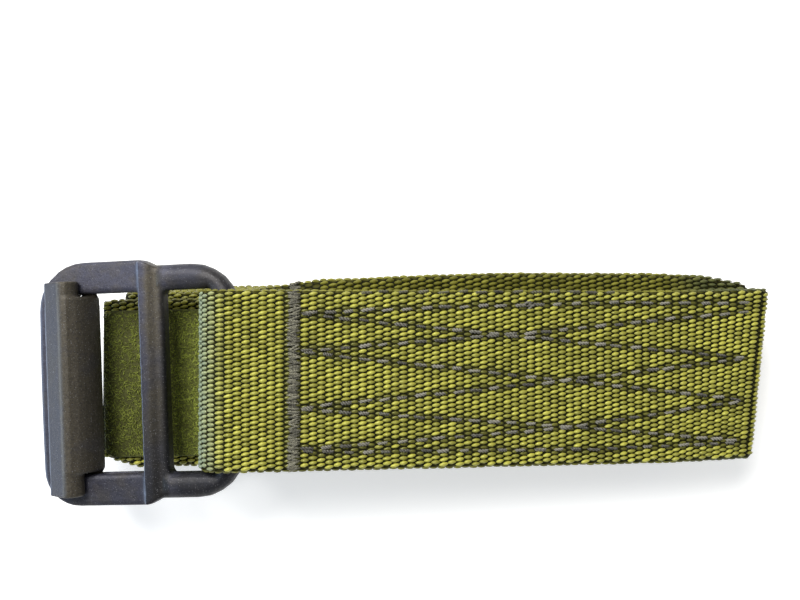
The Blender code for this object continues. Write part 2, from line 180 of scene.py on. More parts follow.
class Ribbon:
    """The webbing's middle surface, read by the distance along it and the distance across it."""

    def __init__(self, corners):
        self.points = rounded_route(corners)
        self.lengths = [0.0]
        for here, after in zip(self.points, self.points[1:]):
            self.lengths.append(self.lengths[-1] + math.hypot(after[0] - here[0], after[1] - here[1]))
        self.total = self.lengths[-1]

    def centre(self, along):
        """(x, z, y, skew) at a distance along the ribbon."""
        along = min(max(along, 0.0), self.total)
        number = min(bisect_right(self.lengths, along) - 1, len(self.points) - 2)
        here, after = self.points[number], self.points[number + 1]
        share = (along - self.lengths[number]) / (self.lengths[number + 1] - self.lengths[number])
        return tuple(a + (b - a) * share for a, b in zip(here, after))

    def place(self, along, across, lift=0.0):
        """(point, direction along, outward normal) on the ribbon; the normal is up on the front ply."""
        x, z, y, skew = self.centre(along)
        before = self.centre(along - ROUTE_STEP / 2)
        after = self.centre(along + ROUTE_STEP / 2)
        share = across / WEBBING_WIDTH
        run_x = after[0] - before[0] + share * (after[3] - before[3])
        run = Vector((run_x, after[2] - before[2], after[1] - before[1]))
        run.normalize()
        side = Vector((skew / WEBBING_WIDTH, 1.0, 0.0)).normalized()
        normal = run.cross(side).normalized()
        cut = max(0.0, along - self.total + TAIL_CUT_LENGTH) / TAIL_CUT_LENGTH
        y += TAIL_CUT_DEPTH * cut * max(0.0, -2 * share)
        return Vector((x + share * skew, y + across, z)) + normal * lift, run, normal

    def along_at_x(self, x, low, high):
        """Distance along the ribbon of the place with that x, between two distances."""
        falling = self.centre(low)[0] > self.centre(high)[0]
        for _ in range(40):
            middle = (low + high) / 2
            if (self.centre(middle)[0] < x) == falling:
                high = middle
            else:
                low = middle
        return (low + high) / 2


RIBBON = Ribbon(ROUTE)


def find_length(number):
    """Distance along the ribbon of the route's corner with that number."""
    corner = ROUTE[number]
    best = min(
        range(len(RIBBON.points)),
        key=lambda n: (math.hypot(RIBBON.points[n][0] - corner.x, RIBBON.points[n][1] - corner.z), n),
    )
    return RIBBON.lengths[best]


# Distances along the ribbon, from the numbers of corners in ROUTE
LOOP_LENGTH = find_length(7)
SKEW_LENGTH = find_length(8)
CREASE_LENGTH = find_length(9)
BOTTOM_END_LENGTH = find_length(11)
UPPER_FOLD_LENGTH = find_length(20)
TAIL_LENGTH = find_length(22)
FRONT_START = LOOP_LENGTH + 0.002
LOOP_UNDERSIDE = LOOP_LENGTH - 0.012
CREASE_UNDERSIDE = CREASE_LENGTH + 0.004


# Settings


class WebbingSettings(bpy.types.PropertyGroup):
    """Sizes and colours of the webbing."""

    float_pitch: FloatProperty(
        name="Float spacing", description="Distance from one column of the weave to the next",
        default=0.00203,
        unit="LENGTH",
    )
    row_pitch: FloatProperty(
        name="Row spacing", description="Distance across the webbing from one row to the next",
        default=0.00118,
        unit="LENGTH",
    )
    core: FloatProperty(
        name="Core thickness", description="Thickness of the webbing under its raised floats", default=0.0019,
        unit="LENGTH",
    )
    float_rise: FloatProperty(
        name="Float rise", description="How far a float stands out of the core",
        default=0.00056, unit="LENGTH",
    )
    yarn: FloatVectorProperty(
        name="Yarn", description="Colour of the yarn where light falls on it", default=(0.350, 0.338, 0.055),
        subtype="COLOR", min=0.0, max=1.0,
    )
    # Painted shade: the colour deep between the floats stands in for the shade that falls there
    gap: FloatVectorProperty(
        name="Gaps", description="Colour deep between the floats",
        default=(0.006, 0.007, 0.002), subtype="COLOR",
        min=0.0, max=1.0,
    )
    seed: IntProperty(name="Seed", description="Seed of the weave's small irregularities", default=7)


class SeamSettings(bpy.types.PropertyGroup):
    """Sizes and colours of the seams."""

    stitch: FloatProperty(
        name="Stitch length", description="Visible length of one stitch", default=0.0034, unit="LENGTH",
    )
    stitch_pitch: FloatProperty(
        name="Stitch spacing", description="Distance from one stitch to the next",
        default=0.0047, unit="LENGTH",
    )
    thread_width: FloatProperty(
        name="Thread width", description="Width of the twisted thread", default=0.00090, unit="LENGTH",
    )
    tack_pitch: FloatProperty(
        name="Bar tack spacing", description="Distance between the bar tack's threads", default=0.00034,
        unit="LENGTH",
    )
    tack_width: FloatProperty(
        name="Bar tack width", description="Width of the bar tack", default=0.0031, unit="LENGTH",
    )
    tack_thread: FloatProperty(
        name="Bar tack thread", description="Width of the bar tack's thread", default=0.00052, unit="LENGTH",
    )
    thread: FloatVectorProperty(
        name="Thread", description="Colour of the thread",
        default=(0.185, 0.178, 0.148), subtype="COLOR", min=0.0,
        max=1.0,
    )
    seed: IntProperty(name="Seed", description="Seed of the stitches' small irregularities", default=11)


class TapeSettings(bpy.types.PropertyGroup):
    """Sizes and colours of the loop tape."""

    density: FloatProperty(
        name="Loops", description="Number of pile loops on a square metre where the tail is open to view",
        default=5.0e6,
    )
    loop_size: FloatProperty(
        name="Loop size", description="Width of one pile loop", default=0.0011, unit="LENGTH",
    )
    pile: FloatVectorProperty(
        name="Pile", description="Colour of the pile",
        default=(0.150, 0.176, 0.030), subtype="COLOR", min=0.0,
        max=1.0,
    )
    seed: IntProperty(name="Seed", description="Seed of the pile", default=3)


class BuckleSettings(bpy.types.PropertyGroup):
    """Colours of the buckle's coated steel."""

    coat: FloatVectorProperty(
        name="Coat", description="Colour of the coat on the steel", default=(0.058, 0.059, 0.090),
        subtype="COLOR", min=0.0, max=1.0,
    )
    worn: FloatVectorProperty(
        name="Worn coat", description="Colour of the coat where hands have rubbed it",
        default=(0.090, 0.076, 0.052),
        subtype="COLOR", min=0.0, max=1.0,
    )


class StageSettings(bpy.types.PropertyGroup):
    """The floor and the lights."""

    floor: FloatVectorProperty(
        name="Floor", description="Colour of the floor", default=(0.95, 0.95, 0.95), subtype="COLOR", min=0.0,
        max=1.0,
    )
    glow: FloatProperty(
        name="Floor glow", description="Light that the floor gives itself, which keeps shadows pale",
        default=0.42,
    )
    key_power: FloatProperty(
        name="Key light", description="Power of the key light", default=6.6, unit="POWER",
    )
    side_power: FloatProperty(
        name="Side light", description="Power of the cool side light", default=1.8, unit="POWER",
    )


class BeltSettings(bpy.types.PropertyGroup):
    """All settings of the belt."""

    webbing: PointerProperty(type=WebbingSettings, name="Webbing", description="Settings of the webbing")
    seams: PointerProperty(type=SeamSettings, name="Seams", description="Settings of the seams")
    tape: PointerProperty(type=TapeSettings, name="Tape", description="Settings of the loop tape")
    buckle: PointerProperty(type=BuckleSettings, name="Buckle", description="Settings of the buckle")
    stage: PointerProperty(type=StageSettings, name="Stage", description="Settings of the floor and lights")


# Helpers


def new_object(name, mesh, material=None, smooth=True):
    """Links a mesh to the scene under a name, with its material and smooth faces."""
    thing = bpy.data.objects.new(name, mesh)
    mesh.name = name
    bpy.context.scene.collection.objects.link(thing)
    if material:
        mesh.materials.clear()
        mesh.materials.append(material)
    if smooth:
        mesh.polygons.foreach_set("use_smooth", [True] * len(mesh.polygons))
    return thing


def mesh_from(name, points, faces):
    """Makes a mesh from points and faces."""
    mesh = bpy.data.meshes.new(name)
    mesh.from_pydata([tuple(point) for point in points], [], faces)
    mesh.update()
    return mesh


def points_mesh(name, places):
    """A mesh of loose points from (point, along, normal, size), for a scatter tree."""
    mesh = bpy.data.meshes.new(name)
    mesh.from_pydata([tuple(place[0]) for place in places], [], [])
    for label, column in (("along", 1), ("out", 2), ("size", 3)):
        attribute = mesh.attributes.new(label, "FLOAT_VECTOR", "POINT")
        attribute.data.foreach_set("vector", [value for place in places for value in place[column]])
    return mesh


class Tree:
    """A short way to write a node tree."""

    def __init__(self, tree):
        self.tree = tree

    def add(self, kind, inputs=None, **settings):
        """Adds a node, with its settings and inputs; an input may be a value or another node's socket."""
        node = self.tree.nodes.new(kind)
        for name, value in settings.items():
            setattr(node, name, value)
        for key, value in (inputs or {}).items():
            if isinstance(value, bpy.types.NodeSocket):
                self.tree.links.new(value, node.inputs[key])
            else:
                node.inputs[key].default_value = value
        return node

    def maths(self, operation, first, second=0.0):
        """The result of a Math node."""
        return self.add("ShaderNodeMath", {0: first, 1: second}, operation=operation).outputs[0]

    def mixed(self, factor, first, second):
        """The colour between two colours."""
        node = self.add("ShaderNodeMix", {0: factor, 6: first, 7: second}, data_type="RGBA")
        return node.outputs[2]

    def ranged(self, value, low, high, to_low=0.0, to_high=1.0):
        """A value mapped from one range to another."""
        node = self.add("ShaderNodeMapRange", {0: value, 1: low, 2: high, 3: to_low, 4: to_high})
        return node.outputs[0]

    def noise(self, vector, scale, detail=2.0, roughness=0.5):
        """The height of a noise texture."""
        node = self.add(
            "ShaderNodeTexNoise", {"Vector": vector, "Scale": scale, "Detail": detail, "Roughness": roughness}
        )
        return node.outputs["Fac"]

    def place(self):
        """The place on the piece itself."""
        return self.add("ShaderNodeTexCoord").outputs["Object"]

    def stored(self, name, output="Vector"):
        """A value stored on the mesh under a name."""
        return self.add("ShaderNodeAttribute", attribute_name=name).outputs[output]

    def part(self, vector, number):
        """One of the three parts of a vector."""
        return self.add("ShaderNodeSeparateXYZ", {0: vector}).outputs[number]

    def bump(self, strength, distance, height, **inputs):
        """The normal of a bumpy surface."""
        sockets = {"Strength": strength, "Distance": distance, "Height": height, **inputs}
        return self.add("ShaderNodeBump", sockets).outputs[0]

    def wire(self, shader, sockets):
        """Joins sockets to a shader's inputs."""
        for label, socket in sockets.items():
            self.tree.links.new(socket, shader.inputs[label])


def new_material(name, roughness, metallic=0.0):
    """A Principled material and a Tree to write its nodes with."""
    material = bpy.data.materials.new(name)
    material.use_nodes = True
    tree = Tree(material.node_tree)
    shader = material.node_tree.nodes["Principled BSDF"]
    shader.inputs["Roughness"].default_value = roughness
    shader.inputs["Metallic"].default_value = metallic
    return material, tree, shader


def new_tree(name, sockets):
    """A Geometry Nodes group with these inputs, as a Tree and the sockets that carry the inputs."""
    group = bpy.data.node_groups.new(name, "GeometryNodeTree")
    for label, kind in sockets.items():
        group.interface.new_socket(label, in_out="INPUT", socket_type="NodeSocket" + kind)
    group.interface.new_socket("Geometry", in_out="OUTPUT", socket_type="NodeSocketGeometry")
    tree = Tree(group)
    return tree, tree.add("NodeGroupInput").outputs


def finish_tree(tree, source, points, piece, rotation, size):
    """Ends a tree: the piece stands on each point with a random shade, is made real and gets the material."""
    thing = tree.add("GeometryNodeObjectInfo", {"Object": piece}).outputs["Geometry"]
    instances = tree.add(
        "GeometryNodeInstanceOnPoints",
        {"Points": points, "Instance": thing, "Rotation": rotation, "Scale": size},
    ).outputs[0]
    shade = tree.add(
        "FunctionNodeRandomValue", {2: 0.0, 3: 1.0, "Seed": source["Seed"]}, data_type="FLOAT"
    ).outputs[1]
    stored = tree.add(
        "GeometryNodeStoreNamedAttribute", {"Geometry": instances, "Name": "shade", "Value": shade},
        data_type="FLOAT", domain="INSTANCE",
    ).outputs[0]
    real = tree.add("GeometryNodeRealizeInstances", {"Geometry": stored}).outputs[0]
    painted = tree.add(
        "GeometryNodeSetMaterial", {"Geometry": real, "Material": source["Material"]}
    ).outputs[0]
    tree.add("NodeGroupOutput", {0: painted})
    return tree.tree


def scatter_tree(name):
    """Geometry Nodes that put a small piece on each point, turned along the surface, a little irregular."""
    tree, source = new_tree(name, {
        "Geometry": "Geometry", "Piece": "Object", "Turn": "Float", "Irregularity": "Float", "Seed": "Int",
        "Material": "Material",
    })

    def named(label):
        return tree.add(
            "GeometryNodeInputNamedAttribute", {"Name": label}, data_type="FLOAT_VECTOR"
        ).outputs["Attribute"]

    upright = tree.add("FunctionNodeAlignRotationToVector", {"Vector": named("out")}, axis="Z").outputs[0]
    turned = tree.add(
        "FunctionNodeAlignRotationToVector", {"Rotation": upright, "Vector": named("along")}, axis="X",
        pivot_axis="Z",
    ).outputs[0]
    low = tree.maths("SUBTRACT", source["Turn"], source["Irregularity"])
    high = tree.maths("ADD", source["Turn"], source["Irregularity"])
    angle = tree.add(
        "FunctionNodeRandomValue", {2: low, 3: high, "Seed": source["Seed"]}, data_type="FLOAT"
    ).outputs[1]
    twist = tree.add("FunctionNodeAxisAngleToRotation", {"Axis": (0.0, 0.0, 1.0), "Angle": angle}).outputs[0]
    rotation = tree.add(
        "FunctionNodeRotateRotation", {"Rotation": turned, "Rotate By": twist}, rotation_space="LOCAL"
    ).outputs[0]
    return finish_tree(tree, source, source["Geometry"], source["Piece"], rotation, named("size"))


def pile_tree(name):
    """Geometry Nodes that scatter loops over a surface, each turned at random."""
    tree, source = new_tree(name, {
        "Geometry": "Geometry", "Loop": "Object", "Density": "Float", "Size": "Float", "Seed": "Int",
        "Material": "Material",
    })
    points = tree.add(
        "GeometryNodeDistributePointsOnFaces",
        {"Mesh": source["Geometry"], "Density": source["Density"], "Seed": source["Seed"]},
    ).outputs["Points"]
    turn = tree.add(
        "FunctionNodeRandomValue", {0: (-0.9, -0.9, 0.0), 1: (0.9, 0.9, math.tau), "Seed": source["Seed"]},
        data_type="FLOAT_VECTOR",
    ).outputs[0]
    rotation = tree.add("FunctionNodeEulerToRotation", {0: turn}).outputs[0]
    smallest = tree.maths("MULTIPLY", source["Size"], 0.6)
    largest = tree.maths("MULTIPLY", source["Size"], 1.3)
    size = tree.add(
        "FunctionNodeRandomValue", {2: smallest, 3: largest, "Seed": source["Seed"]}, data_type="FLOAT"
    ).outputs[1]
    return finish_tree(tree, source, points, source["Loop"], rotation, size)


def grown(name, mesh, tree, values, material):
    """Runs a node tree on a mesh and returns the plain result as an object."""
    seedbed = new_object(name + "_seedbed", mesh, smooth=False)
    modifier = seedbed.modifiers.new("scatter", "NODES")
    modifier.node_group = tree
    sockets = {item.name: item.identifier for item in tree.interface.items_tree if item.in_out == "INPUT"}
    for label, value in values.items():
        modifier[sockets[label]] = value
    modifier[sockets["Material"]] = material
    bpy.context.view_layer.update()
    graph = bpy.context.evaluated_depsgraph_get()
    result = bpy.data.meshes.new_from_object(seedbed.evaluated_get(graph))
    seedbed.modifiers.remove(modifier)
    bpy.data.objects.remove(seedbed, do_unlink=True)
    return new_object(name, result, material)


def float_piece():
    """One weave float: a raised lens a unit long, wide and high."""
    sides = 8
    rings = ((0.5, 0.0), (0.33, 0.78))
    points = []
    for radius, height in rings:
        for step in range(sides):
            angle = math.tau * step / sides
            width = math.sin(angle) * abs(math.sin(angle)) ** 0.6
            points.append((radius * math.cos(angle), radius * width, height))
    points.append((0.0, 0.0, 1.0))
    faces = []
    for step in range(sides):
        after = (step + 1) % sides
        faces.append((step, after, sides + after, sides + step))
        faces.append((sides + step, sides + after, 2 * sides))
    return new_object("float_piece", mesh_from("float_piece", points, faces))


def thread_piece():
    """One stitch: two strands twisted round each other, a unit long, its ends sinking into the cloth."""
    steps, sides, turns = 14, 5, 2.2
    points = []
    faces = []
    for strand in range(2):
        base = len(points)
        for step in range(steps + 1):
            share = step / steps
            angle = math.tau * (turns * share + strand / 2)
            sink = 1.15 * (abs(2 * share - 1) ** 4)
            radius = 0.30 - 0.24 * abs(2 * share - 1) ** 5
            middle = Vector((share - 0.5, 0.27 * math.cos(angle), 0.27 * math.sin(angle) + 0.25 - sink))
            for side in range(sides):
                turn = math.tau * side / sides
                points.append(middle + Vector((0.0, radius * math.cos(turn), radius * math.sin(turn))))
        for step in range(steps):
            for side in range(sides):
                after = (side + 1) % sides
                low, high = base + step * sides, base + (step + 1) * sides
                faces.append((low + side, low + after, high + after, high + side))
    return new_object("thread_piece", mesh_from("thread_piece", points, faces))


def loop_piece():
    """One pile loop: a bent thread a unit wide."""
    steps, sides = 3, 3
    points = []
    faces = []
    for step in range(steps + 1):
        angle = math.pi * step / steps
        for side in range(sides):
            turn = math.tau * side / sides
            reach = 0.45 + 0.085 * math.cos(turn)
            points.append((reach * math.cos(angle), 0.085 * math.sin(turn), 1.1 * reach * math.sin(angle)))
    for step in range(steps):
        for side in range(sides):
            after = (side + 1) % sides
            low, high = step * sides, (step + 1) * sides
            faces.append((low + side, high + side, high + after, low + after))
    return new_object("loop_piece", mesh_from("loop_piece", points, faces))


def discard(thing):
    """Takes a helper object and its mesh out of the file."""
    mesh = thing.data
    bpy.data.objects.remove(thing, do_unlink=True)
    if mesh and mesh.users == 0:
        bpy.data.meshes.remove(mesh)


# Materials


def yarn_material(settings, name, brightness, painted_fold_reflection):
    """Raised floats: shiny yarn with fine filaments, each float a little different. Floats pressed beside seams
    get painted shade, floats facing left round the fold get a painted cool reflection, and a copy at lower
    brightness is painted shade, darkened further at its right end.
    """
    material, tree, shader = new_material(name, 0.36)
    shader.inputs["Specular IOR Level"].default_value = 0.75 * brightness * brightness
    shader.inputs["Specular Tint"].default_value = (0.95, 1.0, 0.50, 1.0)
    place = tree.place()
    shade = tree.stored("shade", "Fac")
    broad = tree.noise(place, 60.0, 3.0)
    tone = tree.maths("ADD", tree.maths("MULTIPLY", shade, 0.55), tree.maths("MULTIPLY", broad, 0.45))
    yarn = Vector(settings.yarn) * brightness
    dark = (*(yarn * 0.55), 1.0)
    bright = (*(yarn * 1.4), 1.0)
    colour = tree.mixed(tree.ranged(tone, 0.2, 0.8), dark, bright)
    stretched = tree.add(
        "ShaderNodeMapping", {"Vector": place, "Rotation": (0.0, 0.0, 0.25), "Scale": (0.35, 1.0, 1.0)}
    ).outputs[0]
    filaments = tree.noise(stretched, 9000.0, 2.0)
    colour = tree.mixed(tree.ranged(filaments, 0.35, 0.65, 0.0, 0.45), colour, dark)
    # Painted shade: floats pressed down beside a seam, known by their low rise, are painted dark
    rise = tree.part(tree.stored("size"), 2)
    colour = tree.mixed(tree.ranged(rise, 0.00022, 0.00036, 0.72, 0.0), colour, (*(yarn * 0.1), 1.0))
    if painted_fold_reflection:
        # Painted reflection: floats facing left round the fold take a cool tint
        facing = tree.part(tree.stored("out"), 0)
        colour = tree.mixed(tree.ranged(facing, -0.85, -0.05, 0.72, 0.0), colour, (0.185, 0.25, 0.225, 1.0))
    else:
        # Painted shade: the darker copy turns dark and cool towards its right end near the crease
        reach = tree.part(place, 0)
        colour = tree.mixed(tree.ranged(reach, 0.066, 0.078, 0.0, 0.6), colour, (0.045, 0.062, 0.042, 1.0))
    tree.wire(shader, {"Base Color": colour, "Normal": tree.bump(0.55, 0.00008, filaments)})
    return material


def core_material(settings):
    """The webbing's core: the same weave as colour and bump, with painted shade in its gaps."""
    material, tree, shader = new_material("olive_weave", 0.7)
    shader.inputs["Specular IOR Level"].default_value = 0.1
    uv = tree.add("ShaderNodeUVMap", uv_map="weave").outputs[0]
    split = tree.add("ShaderNodeSeparateXYZ", {0: uv})
    column, row = split.outputs[0], split.outputs[1]
    # A whole number added to both keeps them above zero
    column = tree.maths("ADD", column, 4000.0)
    odd = tree.maths("MODULO", tree.maths("FLOOR", column), 2.0)
    across = tree.maths("ADD", tree.maths("ADD", row, 4000.0), tree.maths("MULTIPLY", odd, 0.5))
    across = tree.maths("FRACT", across)
    along = tree.maths("FRACT", column)
    off_along = tree.maths("DIVIDE", tree.maths("SUBTRACT", along, 0.5), 0.62)
    off_across = tree.maths("DIVIDE", tree.maths("SUBTRACT", across, 0.5), 0.48)
    square = tree.maths(
        "ADD", tree.maths("MULTIPLY", off_along, off_along), tree.maths("MULTIPLY", off_across, off_across)
    )
    height = tree.maths("SQRT", tree.maths("MAXIMUM", tree.maths("SUBTRACT", 1.0, square), 0.0))
    place = tree.place()
    fine = tree.noise(place, 5000.0, 2.0)
    yarn = Vector(settings.yarn)
    # Painted shade: the gaps are near black and the painted floats stay dark, in place of the shade between
    # floats
    colour = tree.mixed(tree.ranged(height, 0.3, 0.95), (*settings.gap, 1.0), (*(yarn * 0.22), 1.0))
    colour = tree.mixed(tree.ranged(fine, 0.3, 0.7, 0.0, 0.35), colour, (*settings.gap, 1.0))
    relief = tree.maths("ADD", height, tree.maths("MULTIPLY", fine, 0.2))
    tree.wire(shader, {"Base Color": colour, "Normal": tree.bump(0.9, 0.0003, relief)})
    return material


def thread_material(settings, name, brightness, warmth):
    """Grey twisted sewing thread, dark between its strands."""
    material, tree, shader = new_material(name, 0.5)
    place = tree.place()
    shade = tree.stored("shade", "Fac")
    fine = tree.noise(place, 2600.0)
    tone = tree.maths("ADD", tree.maths("MULTIPLY", shade, 0.3), tree.maths("MULTIPLY", fine, 0.7))
    thread = Vector(settings.thread) * brightness
    thread.z *= warmth
    colour = tree.mixed(tree.ranged(tone, 0.35, 0.65), (*(thread * 0.25), 1.0), (*(thread * 1.35), 1.0))
    tree.wire(shader, {"Base Color": colour})
    return material


def pile_material(settings, name, brightness):
    """Fuzzy pile in a range of dark olives, with painted light right of the crossbar."""
    material, tree, shader = new_material(name, 0.6)
    shader.inputs["Specular Tint"].default_value = (1.0, 0.95, 0.55, 1.0)
    place = tree.place()
    shade = tree.stored("shade", "Fac")
    broad = tree.noise(place, 300.0, 3.0)
    tone = tree.maths("ADD", tree.maths("MULTIPLY", shade, 0.5), tree.maths("MULTIPLY", broad, 0.5))
    pile = Vector(settings.pile) * brightness
    tone = tree.ranged(tone, 0.25, 0.75)
    colour = tree.mixed(tone, (*(pile * 0.35), 1.0), (*(pile * 1.7), 1.0))
    # Painted light: a lighter pile, laid between x -0.067 and -0.060 right of the crossbar against the shade
    # that falls there
    painted_light_pile = tree.mixed(tone, (*(pile * 0.9), 1.0), (*(pile * 3.0), 1.0))
    reach = tree.part(place, 0)
    colour = tree.mixed(tree.ranged(reach, -0.067, -0.060), colour, painted_light_pile)
    fine = tree.noise(place, 2600.0, 3.0, 0.6)
    colour = tree.mixed(tree.ranged(fine, 0.38, 0.58, 0.75, 0.0), colour, (*(pile * 0.15), 1.0))
    tree.wire(shader, {"Base Color": colour, "Normal": tree.bump(0.8, 0.0002, fine)})
    return material


def steel_material(settings, name):
    """Coated steel: worn to a warmer tone in places, with painted shade, a painted cool highlight, painted
    glints and a fine pebbled surface.
    """
    material, tree, shader = new_material(name, 0.5, metallic=0.35)
    place = tree.place()
    bright, painted_shade, brown = tree.add("ShaderNodeSeparateXYZ", {0: tree.stored("painted_light_and_wear")}).outputs
    broad = tree.noise(place, 110.0, 4.0, 0.6)
    patches = tree.ranged(broad, 0.38, 0.62, -0.3, 0.45)
    patches = tree.add("ShaderNodeMath", {0: patches, 1: brown}, operation="ADD", use_clamp=True).outputs[0]
    colour = tree.mixed(patches, (*settings.coat, 1.0), (*settings.worn, 1.0))
    grain = tree.noise(place, 2600.0, 3.0, 0.7)
    colour = tree.mixed(tree.ranged(grain, 0.35, 0.55, 0.6, 0.0), colour, (0.012, 0.012, 0.016, 1.0))
    # Painted shade: the stored shade darkens the coat towards black
    colour = tree.mixed(painted_shade, colour, (0.0, 0.0, 0.0, 1.0))
    # Painted glints: small bright specks scattered by noise
    specks = tree.noise(place, 3600.0, 1.0)
    painted_glint = tree.ranged(specks, 0.66, 0.74)
    colour = tree.mixed(tree.maths("MULTIPLY", painted_glint, 0.45), colour, (0.26, 0.26, 0.28, 1.0))
    # Painted highlight: a cool bright tone where the piece stores it, broken up by the grain
    painted_highlight = tree.maths("MULTIPLY", bright, tree.ranged(grain, 0.35, 0.6, 0.45, 1.0))
    colour = tree.mixed(painted_highlight, colour, (0.16, 0.19, 0.26, 1.0))
    roughness = tree.ranged(grain, 0.3, 0.7, 0.42, 0.62)
    dents = tree.noise(place, 420.0, 3.0)
    bump = tree.bump(0.35, 0.0004, dents, Normal=tree.bump(0.5, 0.00010, grain))
    tree.wire(shader, {"Base Color": colour, "Roughness": roughness, "Normal": bump})
    return material


def floor_material(settings):
    """A matt pale floor."""
    material, tree, shader = new_material("pale_floor", 0.9)
    place = tree.place()
    floor = Vector(settings.floor)
    colour = tree.mixed(tree.noise(place, 8.0), (*floor, 1.0), (*(floor * 0.985), 1.0))
    tree.wire(shader, {"Base Color": colour, "Emission Color": colour})
    shader.inputs["Emission Strength"].default_value = settings.glow
    return material


# Pieces


def webbing_core(settings, material):
    """The webbing as one closed ribbon with round selvages."""
    half = settings.core / 2
    reach = WEBBING_WIDTH / 2 - 0.0003
    section = []
    for step in range(CORE_COLUMNS + 1):
        section.append((-reach + half + (2 * reach - 2 * half) * step / CORE_COLUMNS, half))
    for step in range(1, SELVAGE_STEPS):
        angle = math.pi / 2 - math.pi * step / SELVAGE_STEPS
        section.append((reach - half + half * math.cos(angle), half * math.sin(angle)))
    for step in range(CORE_COLUMNS + 1):
        section.append((reach - half - (2 * reach - 2 * half) * step / CORE_COLUMNS, -half))
    for step in range(1, SELVAGE_STEPS):
        angle = -math.pi / 2 - math.pi * step / SELVAGE_STEPS
        section.append((-reach + half + half * math.cos(angle), half * math.sin(angle)))
    lengths = []
    for low, high in zip(RIBBON.lengths, RIBBON.lengths[1:]):
        steps = max(1, round((high - low) / CORE_STEP))
        lengths += [low + (high - low) * step / steps for step in range(steps)]
    lengths.append(RIBBON.total)
    points = []
    coordinates = []
    for along in lengths:
        for across, lift in section:
            points.append(RIBBON.place(along, across, lift)[0])
            coordinates.append((along / settings.float_pitch, across / settings.row_pitch))
    ring = len(section)
    faces = []
    for number in range(len(lengths) - 1):
        low, high = number * ring, (number + 1) * ring
        for step in range(ring):
            after = (step + 1) % ring
            faces.append((low + step, low + after, high + after, high + step))
    faces.append(tuple(range(ring - 1, -1, -1)))
    last = (len(lengths) - 1) * ring
    faces.append(tuple(range(last, last + ring)))
    mesh = mesh_from("webbing", points, faces)
    layer = mesh.uv_layers.new(name="weave")
    for loop in mesh.loops:
        layer.data[loop.index].uv = coordinates[loop.vertex_index]
    return new_object("webbing", mesh, material)


def beside_seam(x, y):
    """Whether a place on the front ply is pressed down beside a seam or the bar tack."""
    if abs(x - BAR_TACK_X) < TACK_CLEARANCE:
        return True
    for path in SEAMS:
        for (ax, ay), (bx, by) in zip(path, path[1:]):
            if ax <= x <= bx and abs(y - ay - (by - ay) * (x - ax) / (bx - ax)) < SEAM_CLEARANCE:
                return True
    return False


def weave_places(settings, start, end, side, low_row, high_row):
    """Places for the floats between two distances along the ribbon, on one side of it."""
    places = []
    wobble = random.Random(settings.seed)
    half = WEBBING_WIDTH / 2 - 0.0006
    for column in range(round(start / settings.float_pitch), round(end / settings.float_pitch)):
        shift = 0.5 if column % 2 else 0.0
        drift = wobble.uniform(-0.05, 0.05) * settings.row_pitch
        for row in range(low_row, high_row):
            across = (row + 0.5 - shift) * settings.row_pitch + drift
            if abs(across) > half:
                continue
            along = (column + 0.5 + wobble.uniform(-0.04, 0.04)) * settings.float_pitch
            point, run, normal = RIBBON.place(along, across, side * (settings.core / 2 - 0.00006))
            size = (
                settings.float_pitch * wobble.uniform(1.06, 1.26),
                settings.row_pitch * wobble.uniform(0.85, 1.02),
                settings.float_rise * wobble.uniform(0.75, 1.25),
            )
            if LOOP_LENGTH < along < CREASE_LENGTH and beside_seam(point.x, point.y):
                size = tuple(value * share for value, share in zip(size, PRESSED))
            places.append((point, run, normal * side, size))
    return places


def selvage_places(settings):
    """Places for the floats along both selvages, where the filling yarn turns back."""
    places = []
    wobble = random.Random(settings.seed + 1)
    pitch = settings.float_pitch
    reach = WEBBING_WIDTH / 2 - 0.0004
    for column in range(int(RIBBON.total / pitch)):
        for sign in (-1, 1):
            along = (column + 0.5 + 0.25 * sign) * pitch
            point, run, normal = RIBBON.place(along, sign * reach)
            outward = Vector((0.0, sign, 0.0))
            slant = (run + normal * 0.35 * (1 if column % 2 else 0.6)).normalized()
            size = (pitch * wobble.uniform(1.15, 1.3), 0.0017, settings.float_rise * wobble.uniform(0.8, 1.2))
            places.append((point, slant, outward, size))
    return places


def seam_stitches(path, settings, wobble):
    """Places for the stitches of one seam on the front ply."""
    places = []
    lengths = [0.0]
    for (ax, ay), (bx, by) in zip(path, path[1:]):
        lengths.append(lengths[-1] + math.hypot(bx - ax, by - ay))
    count = round(lengths[-1] / settings.stitch_pitch)
    for number in range(count):
        distance = (number + 0.5 + wobble.uniform(-0.09, 0.09)) * lengths[-1] / count
        part = min(bisect_right(lengths, distance) - 1, len(path) - 2)
        share = (distance - lengths[part]) / (lengths[part + 1] - lengths[part])
        (ax, ay), (bx, by) = path[part], path[part + 1]
        x, y = ax + (bx - ax) * share, ay + (by - ay) * share + wobble.uniform(-0.00015, 0.00015)
        along = RIBBON.along_at_x(x, FRONT_START, CREASE_LENGTH)
        across = y - RIBBON.centre(along)[2]
        point, run, normal = RIBBON.place(along, across, SEAM_LIFT)
        direction = Vector((bx - ax, by - ay, run.z * (bx - ax) / run.x)).normalized()
        size = (
            settings.stitch * wobble.uniform(0.78, 1.18), settings.thread_width * wobble.uniform(0.8, 1.1),
            settings.thread_width * wobble.uniform(0.85, 1.1),
        )
        places.append((point, direction, normal, size))
    return places


def knot_places(settings, wobble):
    """Places for a small knot of thread."""
    places = []
    along = RIBBON.along_at_x(KNOT[0], FRONT_START, CREASE_LENGTH)
    for _ in range(7):
        point, run, normal = RIBBON.place(along, KNOT[1] - RIBBON.centre(along)[2], KNOT_LIFT)
        point += Vector((wobble.uniform(-0.0009, 0.0009), wobble.uniform(-0.0007, 0.0007), 0.0))
        direction = (run + Vector((0.0, wobble.uniform(-1.6, 1.6), 0.0))).normalized()
        places.append((point, direction, normal, (0.0014, 0.0005, 0.0005)))
    return places


